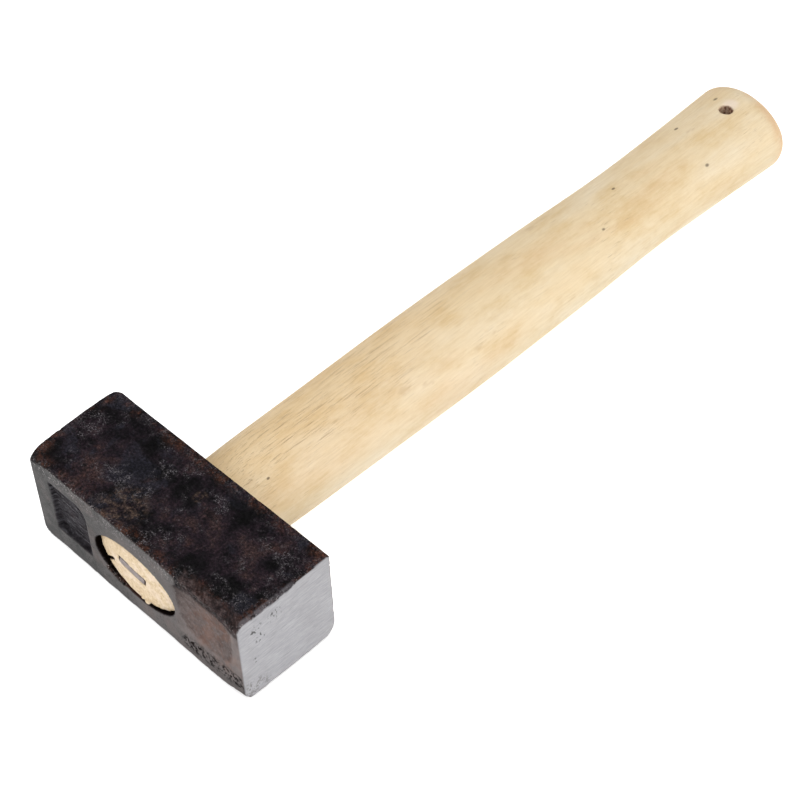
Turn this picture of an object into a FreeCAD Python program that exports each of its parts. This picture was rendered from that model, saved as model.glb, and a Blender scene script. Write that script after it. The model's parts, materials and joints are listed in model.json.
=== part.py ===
import FreeCAD, Part
import os

import Sketcher
from FreeCAD import Placement, Rotation, Vector

# A club hammer: a square forged steel head, an oval wooden handle driven through its eye,
# and a steel wedge that spreads the handle's tongue.
#
# Millimetres.  The hammer lies on its lower cheek.  The origin is on that cheek, under the eye,
# +X runs along the head to the ground striking face, +Y runs along the handle to its butt,
# and +Z points up out of the upper cheek.

SIZES = {
    # forged head
    "head_length": 103.8,
    "head_width": 39.0,
    "head_height": 39.5,
    "face_reach": 51.5,
    "peen_crown_radius": 260.0,
    "peen_crown_y": 9.0,
    "peen_front_corner_radius": 2.5,
    "peen_back_corner_radius": 5.0,
    "lower_edge_radius": 2.5,
    "upper_edge_radius": 1.6,
    "face_chamfer": 1.2,
    # eye through the head, wider where the wedge goes in
    "eye_height": 19.5,
    "eye_front_half_width": 19.6,
    "eye_front_half_height": 11.2,
    "eye_back_half_width": 18.3,
    "eye_back_half_height": 10.6,
    # sunk panels on the two eye faces
    "panel_outer_x": 41.4,
    "panel_inner_x": 23.3,
    "panel_low_z": 9.3,
    "panel_high_z": 31.9,
    "panel_corner_radius": 4.5,
    "panel_depth": 1.8,
    "worn_panel_depth": 0.5,
    "rear_panel_depth": 1.2,
    # oval handle, its sections named from the head to the butt
    "oval_ratio": 0.76,
    "neck_half_width": 18.8,
    "neck_half_height": 12.4,
    "throat_y": 58.0,
    "throat_half_width": 19.3,
    "belly_y": 120.0,
    "belly_half_width": 20.0,
    "taper_y": 176.0,
    "taper_half_width": 19.6,
    "waist_y": 224.0,
    "waist_half_width": 18.7,
    "flare_y": 256.0,
    "flare_half_width": 19.5,
    "swell_y": 284.0,
    "swell_half_width": 20.8,
    "butt_y": 297.7,
    "butt_dome_radius": 50.0,
    "butt_dome_x": -5.0,
    "butt_dome_z": 15.5,
    "butt_edge_radius": 6.0,
    "hang_hole_y": 277.0,
    "hang_hole_radius": 2.5,
    # end of the tongue, crowned and just under the head's face
    "tongue_recess": 0.6,
    "tongue_crown_radius": 100.0,
    # steel wedge and the kerf that it fills
    "wedge_x": -2.1,
    "wedge_tilt": 7.6,
    "wedge_width": 12.0,
    "wedge_length": 18.0,
    "wedge_head_half_thickness": 1.4,
    "wedge_tip_half_thickness": 0.3,
    "kerf_width": 13.4,
    "kerf_depth": 21.0,
}

doc = FreeCAD.newDocument("club_hammer")


def make_sheet():
    """Write the driving dimensions, one aliased cell each."""
    sheet = doc.addObject("Spreadsheet::Sheet", "sizes")
    for row, (alias, value) in enumerate(SIZES.items(), start=1):
        sheet.set(f"A{row}", alias)
        sheet.set(f"B{row}", str(value))
        sheet.setAlias(f"B{row}", alias)
    doc.recompute()
    return sheet


def new_body(name):
    """Make an empty body whose label names its file."""
    body = doc.addObject("PartDesign::Body", name)
    body.Label = name
    return body


def new_sketch(body, name, plane_role, offset=None):
    """Attach a sketch to one of the body's own planes.

    offset maps Base.x, Base.y or Base.z, measured in the plane, to an expression.
    """
    plane = next(f for f in body.Origin.OriginFeatures if f.Role == plane_role)
    sketch = body.newObject("Sketcher::SketchObject", name)
    sketch.AttachmentSupport = [(plane, "")]
    sketch.MapMode = "FlatFace"
    for axis, expression in (offset or {}).items():
        sketch.setExpression(f"AttachmentOffset.{axis}", expression)
    return sketch


def bind(sketch, name, constraint, expression):
    """Add a dimension to a sketch and drive it by an expression."""
    index = sketch.addConstraint(constraint)
    sketch.renameConstraint(index, name)
    sketch.setExpression(f"Constraints.{name}", expression)


def join_loop(sketch, curves):
    """Join each curve's end to the next curve's start, all the way round."""
    for here, after in zip(curves, curves[1:] + curves[:1]):
        sketch.addConstraint(Sketcher.Constraint("Coincident", here, 2, after, 1))


def ellipse_section(body, name, y, half_width, half_height):
    """Draw an oval across the handle's axis, centred on the eye, at the station y."""
    sketch = new_sketch(body, name, "XZ_Plane", {"Base.y": "sizes.eye_height", "Base.z": f"-({y})"})
    oval = sketch.addGeometry(Part.Ellipse(Vector(0, 0, 0), 19.0, 13.0))
    sketch.exposeInternalGeometry(oval)
    major_axis = oval + 1
    minor_axis = oval + 2
    sketch.addConstraint(Sketcher.Constraint("Coincident", oval, 3, -1, 1))
    sketch.addConstraint(Sketcher.Constraint("Horizontal", major_axis))
    bind(sketch, "width", Sketcher.Constraint("Distance", major_axis, 38.0), f"2 * ({half_width})")
    bind(sketch, "height", Sketcher.Constraint("Distance", minor_axis, 26.0), f"2 * ({half_height})")
    return sketch


def loft(body, kind, name, sections):
    """Loft through sections in order, adding to or cutting from the body."""
    feature = body.newObject(f"PartDesign::{kind}", name)
    feature.Profile = sections[0]
    feature.Sections = sections[1:]
    return feature


def pick_edges(feature, wanted):
    """List the names of the edges whose bounding box satisfies wanted."""
    doc.recompute()
    return [f"Edge{i}" for i, edge in enumerate(feature.Shape.Edges, start=1) if wanted(edge.BoundBox)]


def round_edges(body, name, base, wanted, radius):
    """Fillet the chosen edges of the body's last feature."""
    feature = body.newObject("PartDesign::Fillet", name)
    feature.Base = (base, pick_edges(base, wanted))
    feature.setExpression("Radius", radius)
    doc.recompute()
    return feature


def head_outline(body):
    """Draw the head from above: straight sides and a slightly crowned, askew rear face."""
    sketch = new_sketch(body, "head_outline", "XY_Plane")
    face_x, half_width, crown_y, radius = 51.5, 19.5, 9.0, 260.0
    crown_x = face_x - SIZES["head_length"]
    front_x = crown_x + radius - (radius ** 2 - (half_width + crown_y) ** 2) ** 0.5
    back_x = crown_x + radius - (radius ** 2 - (half_width - crown_y) ** 2) ** 0.5
    front = sketch.addGeometry(Part.LineSegment(Vector(front_x, -half_width, 0), Vector(face_x, -half_width, 0)))
    face = sketch.addGeometry(Part.LineSegment(Vector(face_x, -half_width, 0), Vector(face_x, half_width, 0)))
    back = sketch.addGeometry(Part.LineSegment(Vector(face_x, half_width, 0), Vector(back_x, half_width, 0)))
    crown = sketch.addGeometry(Part.Arc(Vector(back_x, half_width, 0), Vector(crown_x, crown_y, 0),
                                        Vector(front_x, -half_width, 0)))
    join_loop(sketch, [front, face, back, crown])
    for line in (front, back):
        sketch.addConstraint(Sketcher.Constraint("Horizontal", line))
    sketch.addConstraint(Sketcher.Constraint("Symmetric", face, 1, face, 2, -1))
    bind(sketch, "face_reach", Sketcher.Constraint("DistanceX", -1, 1, face, 1, face_x), "sizes.face_reach")
    bind(sketch, "width", Sketcher.Constraint("Distance", face, 2 * half_width), "sizes.head_width")
    bind(sketch, "crown", Sketcher.Constraint("Radius", crown, radius), "sizes.peen_crown_radius")
    bind(sketch, "crown_y", Sketcher.Constraint("DistanceY", -1, 1, crown, 3, crown_y), "sizes.peen_crown_y")
    bind(sketch, "crown_x", Sketcher.Constraint("DistanceX", -1, 1, crown, 3, crown_x + radius),
         "sizes.peen_crown_radius + sizes.face_reach - sizes.head_length")
    return sketch


def cut_panel(body, name, side, face, depth):
    """Sink a panel beside the eye, its inner upper corner rounded to follow the eye.

    side is -1 for the rear end and 1 for the striking face's end.  face is -1 for the
    wedge's side of the head and 1 for the handle's side.
    """
    sketch = new_sketch(body, f"{name}_outline", "XZ_Plane", {"Base.z": f"{-face} * sizes.head_width / 2"})
    outer, inner, low, high, corner = side * 41.4, side * 23.3, 9.3, 31.9, 4.5
    bottom = sketch.addGeometry(Part.LineSegment(Vector(inner, low, 0), Vector(outer, low, 0)))
    end = sketch.addGeometry(Part.LineSegment(Vector(outer, low, 0), Vector(outer, high, 0)))
    top = sketch.addGeometry(Part.LineSegment(Vector(outer, high, 0), Vector(inner + side * corner, high, 0)))
    eye_side = sketch.addGeometry(Part.LineSegment(Vector(inner, high - corner, 0), Vector(inner, low, 0)))
    join_loop(sketch, [bottom, end, top])
    sketch.delConstraint(sketch.ConstraintCount - 1)
    sketch.addConstraint(Sketcher.Constraint("Coincident", eye_side, 2, bottom, 1))
    middle = Vector(inner + side * corner * (1 - 0.5 ** 0.5), high - corner * (1 - 0.5 ** 0.5), 0)
    arc = sketch.addGeometry(Part.Arc(Vector(inner, high - corner, 0), middle,
                                      Vector(inner + side * corner, high, 0)))
    arc_at_top, arc_at_side = (2, 1) if side > 0 else (1, 2)
    if sketch.getPoint(arc, arc_at_top).distanceToPoint(sketch.getPoint(top, 2)) > 0.1:
        arc_at_top, arc_at_side = arc_at_side, arc_at_top
    sketch.addConstraint(Sketcher.Constraint("Tangent", arc, arc_at_top, top, 2))
    sketch.addConstraint(Sketcher.Constraint("Tangent", arc, arc_at_side, eye_side, 1))
    for line in (bottom, top):
        sketch.addConstraint(Sketcher.Constraint("Horizontal", line))
    for line in (end, eye_side):
        sketch.addConstraint(Sketcher.Constraint("Vertical", line))
    bind(sketch, "outer", Sketcher.Constraint("DistanceX", -1, 1, end, 1, outer),
         f"{side} * sizes.panel_outer_x")
    bind(sketch, "inner", Sketcher.Constraint("DistanceX", -1, 1, bottom, 1, inner),
         f"{side} * sizes.panel_inner_x")
    bind(sketch, "low", Sketcher.Constraint("DistanceY", -1, 1, bottom, 1, low), "sizes.panel_low_z")
    bind(sketch, "high", Sketcher.Constraint("DistanceY", -1, 1, top, 1, high), "sizes.panel_high_z")
    bind(sketch, "corner", Sketcher.Constraint("Radius", arc, corner), "sizes.panel_corner_radius")
    pocket = body.newObject("PartDesign::Pocket", name)
    pocket.Profile = sketch
    pocket.setExpression("Length", depth)
    pocket.Reversed = face > 0
    return pocket


def make_head():
    """Forge the head: block, rounded edges, sunk panels and the tapered eye."""
    body = new_body("head")
    block = body.newObject("PartDesign::Pad", "block")
    block.Profile = head_outline(body)
    block.setExpression("Length", "sizes.head_height")

    top = SIZES["head_height"]
    face_x = SIZES["face_reach"]
    front_corner = round_edges(body, "peen_front_corner", block,
                               lambda box: box.ZLength > 1 and box.XMax < 0 and box.YMax < 0,
                               "sizes.peen_front_corner_radius")
    back_corner = round_edges(body, "peen_back_corner", front_corner,
                              lambda box: box.ZLength > 1 and box.XMax < 0 and box.YMin > 0,
                              "sizes.peen_back_corner_radius")
    lower = round_edges(body, "lower_edges", back_corner,
                        lambda box: box.ZMax < 0.01 and box.XMin < face_x - 0.1, "sizes.lower_edge_radius")
    upper = round_edges(body, "upper_edges", lower,
                        lambda box: box.ZMin > top - 0.01 and box.XMin < face_x - 0.1,
                        "sizes.upper_edge_radius")
    bevel = body.newObject("PartDesign::Chamfer", "face_bevel")
    bevel.Base = (upper, pick_edges(upper, lambda box: box.XMin > face_x - 0.01))
    bevel.setExpression("Size", "sizes.face_chamfer")

    cut_panel(body, "panel", -1, -1, "sizes.panel_depth")
    cut_panel(body, "worn_panel", 1, -1, "sizes.worn_panel_depth")
    cut_panel(body, "rear_panel_left", -1, 1, "sizes.rear_panel_depth")
    cut_panel(body, "rear_panel_right", 1, 1, "sizes.rear_panel_depth")

    loft(body, "SubtractiveLoft", "eye", eye_sections(body, "eye"))
    return body


def eye_sections(body, name):
    """Draw the two ovals that the eye and the handle's tongue share."""
    front = ellipse_section(body, f"{name}_front", "-sizes.head_width / 2",
                            "sizes.eye_front_half_width", "sizes.eye_front_half_height")
    back = ellipse_section(body, f"{name}_back", "sizes.head_width / 2",
                           "sizes.eye_back_half_width", "sizes.eye_back_half_height")
    return [front, back]


def dome_outline(body):
    """Draw the waste outside the butt's dome, turned about an axis a little off the handle's."""
    sketch = new_sketch(body, "dome_outline", "XY_Plane",
                        {"Base.x": "sizes.butt_dome_x", "Base.z": "sizes.butt_dome_z"})
    butt, radius, reach = 297.7, 50.0, 30.0
    centre = butt - radius
    rim = centre + (radius ** 2 - reach ** 2) ** 0.5
    middle = Vector(reach / 2, centre + (radius ** 2 - reach ** 2 / 4) ** 0.5, 0)
    arc = sketch.addGeometry(Part.Arc(Vector(reach, rim, 0), middle, Vector(0, butt, 0)))
    axis = sketch.addGeometry(Part.LineSegment(Vector(0, butt, 0), Vector(0, butt + 10, 0)))
    end = sketch.addGeometry(Part.LineSegment(Vector(0, butt + 10, 0), Vector(reach, butt + 10, 0)))
    side = sketch.addGeometry(Part.LineSegment(Vector(reach, butt + 10, 0), Vector(reach, rim, 0)))
    join_loop(sketch, [arc, axis, end, side])
    sketch.addConstraint(Sketcher.Constraint("PointOnObject", arc, 3, -2))
    sketch.addConstraint(Sketcher.Constraint("Vertical", axis))
    sketch.addConstraint(Sketcher.Constraint("PointOnObject", axis, 1, -2))
    sketch.addConstraint(Sketcher.Constraint("Horizontal", end))
    sketch.addConstraint(Sketcher.Constraint("Vertical", side))
    bind(sketch, "butt", Sketcher.Constraint("DistanceY", -1, 1, axis, 1, butt), "sizes.butt_y")
    bind(sketch, "radius", Sketcher.Constraint("Radius", arc, radius), "sizes.butt_dome_radius")
    bind(sketch, "beyond", Sketcher.Constraint("Distance", axis, 10.0), "sizes.butt_dome_radius / 4")
    bind(sketch, "reach", Sketcher.Constraint("Distance", end, reach), "1.5 * sizes.swell_half_width")
    return sketch


def tongue_trim_outline(body):
    """Draw the waste beyond the tongue's crowned end."""
    sketch = new_sketch(body, "tongue_trim_outline", "XY_Plane")
    reach, beyond = 24.0, -25.0
    radius = SIZES["tongue_crown_radius"]
    crown_y = -SIZES["head_width"] / 2 + SIZES["tongue_recess"]
    rim = crown_y + radius - (radius ** 2 - reach ** 2) ** 0.5
    crown = sketch.addGeometry(Part.Arc(Vector(-reach, rim, 0), Vector(0, crown_y, 0), Vector(reach, rim, 0)))
    right = sketch.addGeometry(Part.LineSegment(Vector(reach, rim, 0), Vector(reach, beyond, 0)))
    outer = sketch.addGeometry(Part.LineSegment(Vector(reach, beyond, 0), Vector(-reach, beyond, 0)))
    left = sketch.addGeometry(Part.LineSegment(Vector(-reach, beyond, 0), Vector(-reach, rim, 0)))
    join_loop(sketch, [crown, right, outer, left])
    sketch.addConstraint(Sketcher.Constraint("Symmetric", crown, 1, crown, 2, -2))
    sketch.addConstraint(Sketcher.Constraint("Horizontal", outer))
    for line in (left, right):
        sketch.addConstraint(Sketcher.Constraint("Vertical", line))
    bind(sketch, "reach", Sketcher.Constraint("Distance", outer, 2 * reach),
         "2.4 * sizes.eye_front_half_width")
    bind(sketch, "radius", Sketcher.Constraint("Radius", crown, radius), "sizes.tongue_crown_radius")
    bind(sketch, "centre", Sketcher.Constraint("DistanceY", -1, 1, crown, 3, crown_y + radius),
         "sizes.tongue_crown_radius + sizes.tongue_recess - sizes.head_width / 2")
    bind(sketch, "beyond", Sketcher.Constraint("DistanceY", outer, 1, -1, 1, -beyond),
         "0.65 * sizes.head_width")
    return sketch


def wedge_outline(sketch, head_y, head_half, tip_y, tip_half):
    """Draw a tapered blade seen along its edge, from its head to its tip."""
    corners = [Vector(-20, -1, 0), Vector(0, -0.3, 0), Vector(0, 0.3, 0), Vector(-20, 1, 0)]
    lines = [sketch.addGeometry(Part.LineSegment(a, b)) for a, b in zip(corners, corners[1:] + corners[:1])]
    join_loop(sketch, lines)
    lower, tip, upper, head = lines
    sketch.addConstraint(Sketcher.Constraint("Symmetric", tip, 1, tip, 2, -1))
    sketch.addConstraint(Sketcher.Constraint("Symmetric", head, 1, head, 2, -1))
    bind(sketch, "tip", Sketcher.Constraint("Distance", tip, 0.6), f"2 * ({tip_half})")
    bind(sketch, "head", Sketcher.Constraint("Distance", head, 2.0), f"2 * ({head_half})")
    bind(sketch, "head_y", Sketcher.Constraint("DistanceX", lower, 1, -1, 1, 20.0), f"-({head_y})")
    bind(sketch, "tip_y", Sketcher.Constraint("DistanceX", tip, 1, -1, 1, 0.5), f"-({tip_y})")


WEDGE_HEAD_Y = "(sizes.tongue_recess - sizes.head_width / 2)"
WEDGE_SLOPE = "((sizes.wedge_head_half_thickness - sizes.wedge_tip_half_thickness) / sizes.wedge_length)"
KERF_OVERRUN = 1.5


def cut_kerf(body):
    """Cut the kerf: the wedge's own taper, a little wider and deeper than the wedge."""
    sketch = new_sketch(body, "kerf_outline", "YZ_Plane",
                        {"Base.y": "sizes.eye_height", "Base.z": "sizes.wedge_x"})
    sketch.setExpression("AttachmentOffset.Rotation.Axis.x", "1")
    sketch.setExpression("AttachmentOffset.Rotation.Axis.z", "0")
    sketch.setExpression("AttachmentOffset.Rotation.Angle", "sizes.wedge_tilt")
    extra = "(sizes.kerf_depth - sizes.wedge_length)"
    wedge_outline(sketch,
                  f"{WEDGE_HEAD_Y} - {KERF_OVERRUN}",
                  f"sizes.wedge_head_half_thickness + {KERF_OVERRUN} * {WEDGE_SLOPE}",
                  f"{WEDGE_HEAD_Y} + sizes.kerf_depth",
                  f"sizes.wedge_tip_half_thickness - {extra} * {WEDGE_SLOPE}")
    kerf = body.newObject("PartDesign::Pocket", "kerf")
    kerf.Profile = sketch
    kerf.SideType = "Symmetric"
    kerf.setExpression("Length", "sizes.kerf_width")
    return kerf


def make_handle():
    """Shape the handle: oval grip, domed butt, hanging hole, and the tongue in the eye."""
    body = new_body("handle")
    sections = [ellipse_section(body, "neck", "sizes.head_width / 2", "sizes.neck_half_width",
                                "sizes.neck_half_height")]
    for name in ("throat", "belly", "taper", "waist", "flare", "swell"):
        half_width = f"sizes.{name}_half_width"
        sections.append(ellipse_section(body, name, f"sizes.{name}_y", half_width,
                                        f"{half_width} * sizes.oval_ratio"))
    sections.append(ellipse_section(body, "butt", "sizes.butt_y", "sizes.swell_half_width",
                                    "sizes.swell_half_width * sizes.oval_ratio"))
    loft(body, "AdditiveLoft", "grip", sections)

    dome = body.newObject("PartDesign::Groove", "dome")
    outline = dome_outline(body)
    dome.Profile = outline
    dome.ReferenceAxis = (outline, ["V_Axis"])
    dome.Angle = 360
    swell_y = SIZES["swell_y"]
    edge = round_edges(body, "butt_edge", dome,
                       lambda box: box.YMin > swell_y + 0.1 and box.YLength > 0.1, "sizes.butt_edge_radius")
    body.Tip = edge

    hole_sketch = new_sketch(body, "hang_hole_outline", "XY_Plane")
    circle = hole_sketch.addGeometry(Part.Circle(Vector(0, 277, 0), Vector(0, 0, 1), 2.5))
    hole_sketch.addConstraint(Sketcher.Constraint("PointOnObject", circle, 3, -2))
    bind(hole_sketch, "y", Sketcher.Constraint("DistanceY", -1, 1, circle, 3, 277.0), "sizes.hang_hole_y")
    bind(hole_sketch, "radius", Sketcher.Constraint("Radius", circle, 2.5), "sizes.hang_hole_radius")
    hole = body.newObject("PartDesign::Pocket", "hang_hole")
    hole.Profile = hole_sketch
    hole.Type = "ThroughAll"
    hole.Reversed = True

    loft(body, "AdditiveLoft", "tongue", eye_sections(body, "tongue"))
    trim = body.newObject("PartDesign::Pocket", "tongue_trim")
    trim.Profile = tongue_trim_outline(body)
    trim.Type = "ThroughAll"
    trim.Reversed = True
    cut_kerf(body)
    return body


def make_wedge():
    """Make the steel wedge, its blunt end flush with the crown of the tongue."""
    body = new_body("wedge")
    sketch = new_sketch(body, "wedge_outline", "YZ_Plane")
    wedge_outline(sketch, WEDGE_HEAD_Y, "sizes.wedge_head_half_thickness",
                  f"{WEDGE_HEAD_Y} + sizes.wedge_length", "sizes.wedge_tip_half_thickness")
    blade = body.newObject("PartDesign::Pad", "blade")
    blade.Profile = sketch
    blade.SideType = "Symmetric"
    blade.setExpression("Length", "sizes.wedge_width")
    body.Placement = Placement(Vector(SIZES["wedge_x"], 0, SIZES["eye_height"]),
                               Rotation(Vector(0, 1, 0), SIZES["wedge_tilt"]))
    return body


def check_and_export(bodies):
    """Stop on any failed feature or invalid shape, then write one STEP file per piece."""
    doc.recompute()
    for item in doc.Objects:
        if "Invalid" in item.State or "Error" in item.State:
            raise RuntimeError(f"{item.Label} failed: {item.State}")
    os.makedirs("parts", exist_ok=True)
    for body in bodies:
        shape = body.Shape
        if shape.isNull() or not shape.isValid() or len(shape.Solids) != 1:
            raise RuntimeError(f"{body.Label} is not one valid solid")
        shape.exportStep(f"parts/{body.Label}.step")
        box = shape.BoundBox
        print(f"{body.Label}: {shape.Volume / 1000:.2f} cm3, X {box.XMin:.2f} {box.XMax:.2f},"
              f" Y {box.YMin:.2f} {box.YMax:.2f}, Z {box.ZMin:.2f} {box.ZMax:.2f}")


make_sheet()
check_and_export([make_head(), make_handle(), make_wedge()])
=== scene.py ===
import json
import math

import bpy
import numpy as np
from mathutils import Matrix, Vector


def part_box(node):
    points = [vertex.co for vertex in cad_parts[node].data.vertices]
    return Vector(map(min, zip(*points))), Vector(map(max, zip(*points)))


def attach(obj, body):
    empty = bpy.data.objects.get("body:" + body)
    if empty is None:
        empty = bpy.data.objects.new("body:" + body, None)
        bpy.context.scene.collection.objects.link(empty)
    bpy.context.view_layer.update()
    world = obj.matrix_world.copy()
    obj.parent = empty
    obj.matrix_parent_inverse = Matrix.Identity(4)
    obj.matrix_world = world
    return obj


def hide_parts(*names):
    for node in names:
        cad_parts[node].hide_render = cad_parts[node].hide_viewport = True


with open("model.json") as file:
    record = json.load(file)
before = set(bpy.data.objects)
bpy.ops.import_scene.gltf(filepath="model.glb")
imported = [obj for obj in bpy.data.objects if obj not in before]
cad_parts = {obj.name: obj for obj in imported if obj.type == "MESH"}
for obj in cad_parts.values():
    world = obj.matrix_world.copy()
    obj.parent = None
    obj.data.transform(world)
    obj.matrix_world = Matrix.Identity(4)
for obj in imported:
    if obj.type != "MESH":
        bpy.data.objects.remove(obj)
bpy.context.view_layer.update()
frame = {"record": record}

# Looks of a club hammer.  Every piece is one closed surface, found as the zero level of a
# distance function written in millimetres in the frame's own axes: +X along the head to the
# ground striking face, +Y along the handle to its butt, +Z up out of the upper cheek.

MM = 0.001


def node_box(node):
    """Lowest and highest corner of a CAD node, in millimetres."""
    low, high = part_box(node)
    return np.array(low) / MM, np.array(high) / MM


HEAD_LOW, HEAD_HIGH = node_box("head")
HANDLE_LOW, HANDLE_HIGH = node_box("handle")
WEDGE_LOW, WEDGE_HIGH = node_box("wedge")
MOUNTS = {mount["name"]: mount for mount in frame["record"]["mounts"]}

# head
PEEN_X, FACE_X = HEAD_LOW[0], HEAD_HIGH[0]
FRONT_Y, BACK_Y = HEAD_LOW[1], HEAD_HIGH[1]
TOP_Z = HEAD_HIGH[2]
PEEN_CROWN_RADIUS = 260.0
PEEN_CROWN_Y = 9.0
EYE_Z = (HANDLE_LOW[2] + HANDLE_HIGH[2]) / 2
EYE_FRONT = (19.6, 11.2)
EYE_BACK = (18.3, 10.6)
PANEL_OUTER, PANEL_INNER = 41.4, 23.3
PANEL_LOW, PANEL_HIGH = 9.3, 31.9
PANEL_CORNER = 5.0
PANEL_DEPTH_HIGH, PANEL_DEPTH_LOW = 1.3, 2.2
REAR_PANEL_DEPTH = 1.1

# handle: half widths at stations along Y, and the shape of its two ends
HANDLE_STATIONS = np.array([BACK_Y, 58.0, 120.0, 176.0, 224.0, 256.0, 284.0, HANDLE_HIGH[1]])
HANDLE_HALF_WIDTHS = np.array([18.8, 19.3, 20.0, 19.6, 18.7, 19.5, 20.6, 21.0])
OVAL_RATIO = 0.76
NECK_THINNING = 1.9
NECK_LENGTH = 24.0
BUTT_APEX = (-5.8, HANDLE_HIGH[1] - 0.1, EYE_Z - 3.4)
BUTT_RADII = (59.5, 36.0)
BUTT_EDGE_RADIUS = 6.5
TONGUE_RECESS = 0.6
TONGUE_CROWN_RADIUS = 100.0
TONGUE_CROWN_X = -1.5
HOLE_Y = MOUNTS["hang_hole"]["pos_m"][1] / MM
HOLE_RADIUS = MOUNTS["hang_hole"]["dims"]["r_mm"]

# wedge
WEDGE_X = (WEDGE_LOW[0] + WEDGE_HIGH[0]) / 2
WEDGE_TILT = math.radians(7.6)
WEDGE_HALF_WIDTH = 6.0
WEDGE_HEAD_HALF, WEDGE_TIP_HALF = 1.4, 0.3
KERF_HALF_WIDTH = 6.7

# camera, in metres, and its lens in millimetres on a 36 mm sensor
CAMERA_PLACE = Vector((0.3574, -0.2344, 0.5323))
CAMERA_AIM = Vector((0.0074, 0.0931, 0.0200))
CAMERA_ROLL = math.radians(-2.395)
CAMERA_LENS = 91.84

# ---------------------------------------------------------------- noise and distance helpers

LATTICE_SIZE = 64
LATTICE = np.random.default_rng(7).uniform(-1.0, 1.0, (LATTICE_SIZE,) * 3).astype(np.float32)


def noise(points, size, seed=0):
    """Smooth random values from -1 to 1 that change over about size millimetres."""
    place = points / np.asarray(size, float) + seed * np.array([17.3, 5.9, 11.1])
    cell = np.floor(place).astype(np.int32)
    part = place - cell
    part = part * part * (3 - 2 * part)
    low, high = cell % LATTICE_SIZE, (cell + 1) % LATTICE_SIZE

    def along_z(i, j):
        near, far = LATTICE[i, j, low[:, 2]], LATTICE[i, j, high[:, 2]]
        return near + (far - near) * part[:, 2]

    def along_y(i):
        near, far = along_z(i, low[:, 1]), along_z(i, high[:, 1])
        return near + (far - near) * part[:, 1]

    near, far = along_y(low[:, 0]), along_y(high[:, 0])
    return near + (far - near) * part[:, 0]


def rough(points, size, octaves, seed=0):
    """Several octaves of noise, each half the size and half the height of the last."""
    size = np.asarray(size, float)
    return sum(0.5 ** k * noise(points, size * 0.5 ** k, seed + k) for k in range(octaves))


def only_where(mask, function, points):
    """The function's values at the masked points and zero at the others."""
    values = np.zeros(len(points))
    values[mask] = function(points[mask])
    return values


def blend_step(low, high, value):
    """0 below low, 1 above high, smooth between."""
    t = np.clip((value - low) / (high - low), 0, 1)
    return t * t * (3 - 2 * t)


def rounded(a, b, radius):
    """What lies inside both a and b, with the edge between them rounded."""
    corner = np.hypot(np.maximum(radius + a, 0), np.maximum(radius + b, 0))
    return np.minimum(np.maximum(a, b), -radius) + corner


def bevelled(a, b, leg):
    """What lies inside both a and b, with the edge between them bevelled at 45 degrees."""
    return np.maximum(np.maximum(a, b), (a + b + leg) * math.sqrt(0.5))


def oval_distance(x, z, half_width, half_height):
    """Near enough the distance from an ellipse, negative inside."""
    level = np.hypot(x / half_width, z / half_height)
    slope = np.hypot(x / half_width ** 2, z / half_height ** 2)
    return level * (level - 1) / np.maximum(slope, 1e-6)


def eye_distance(p):
    """Distance from the wall of the tapered eye, negative inside the eye."""
    along = (p[:, 1] - FRONT_Y) / (BACK_Y - FRONT_Y)
    half_width = EYE_FRONT[0] + (EYE_BACK[0] - EYE_FRONT[0]) * along
    half_height = EYE_FRONT[1] + (EYE_BACK[1] - EYE_FRONT[1]) * along
    return oval_distance(p[:, 0], p[:, 2] - EYE_Z, half_width, half_height)


# ---------------------------------------------------------------- from a distance to a mesh

def crossing_cells(values):
    """Sum and count, for each grid cell, the places where the surface crosses its twelve edges."""
    shape = np.array(values.shape) - 1
    total = np.zeros((*shape, 3), np.float32)
    count = np.zeros(shape, np.float32)
    for axis in range(3):
        others = [k for k in range(3) if k != axis]
        for u, v in np.ndindex(2, 2):
            near = [slice(0, -1)] * 3
            near[others[0]] = slice(u, shape[others[0]] + u)
            near[others[1]] = slice(v, shape[others[1]] + v)
            far = list(near)
            far[axis] = slice(1, None)
            a, b = values[tuple(near)], values[tuple(far)]
            hit = (a < 0) != (b < 0)
            count += hit
            share = np.where(hit, a / np.where(hit, a - b, 1), 0)
            total[..., axis] += share
            total[..., others[0]] += hit * u
            total[..., others[1]] += hit * v
    return total, count


def grid_axis(low, high, pitch, fine_ranges=()):
    """Grid coordinates from below low to above high, closer together inside the fine ranges."""
    place, places = low - pitch, []
    while place < high + 2 * pitch:
        places.append(place)
        fine = [step for start, stop, step in fine_ranges if start <= place < stop]
        place += min(fine, default=pitch)
    return np.array(places)


def surface_net(distance, axes):
    """Mesh the zero level of a distance function with one vertex per crossed grid cell."""
    grid = np.stack(np.meshgrid(*axes, indexing="ij"), axis=-1)
    values = distance(grid.reshape(-1, 3)).reshape(grid.shape[:3])
    total, count = crossing_cells(values)
    used = count > 0
    index = np.full(used.shape, -1)
    index[used] = np.arange(used.sum())
    steps = np.argwhere(used) + total[used] / count[used][:, None]
    places = [np.interp(steps[:, k], np.arange(len(axes[k])), axes[k]) for k in range(3)]
    points = np.stack(places, axis=1)

    quads = []
    for axis in range(3):
        u, v = [k for k in range(3) if k != axis]
        near = [slice(1, -1)] * 3
        near[axis] = slice(0, -1)
        far = list(near)
        far[axis] = slice(1, None)
        a, b = values[tuple(near)], values[tuple(far)]
        for rising in (True, False):
            edges = np.argwhere((a < 0) & (b >= 0) if rising else (a >= 0) & (b < 0))
            edges[:, u] += 1
            edges[:, v] += 1
            ring = []
            for du, dv in ((1, 1), (0, 1), (0, 0), (1, 0)):
                cell = edges.copy()
                cell[:, u] -= du
                cell[:, v] -= dv
                ring.append(index[tuple(cell.T)])
            # the order that turns every face's normal outwards
            if rising == (axis == 1):
                ring.reverse()
            quads.append(np.stack(ring, axis=1))
    return points, np.concatenate(quads)


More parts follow.
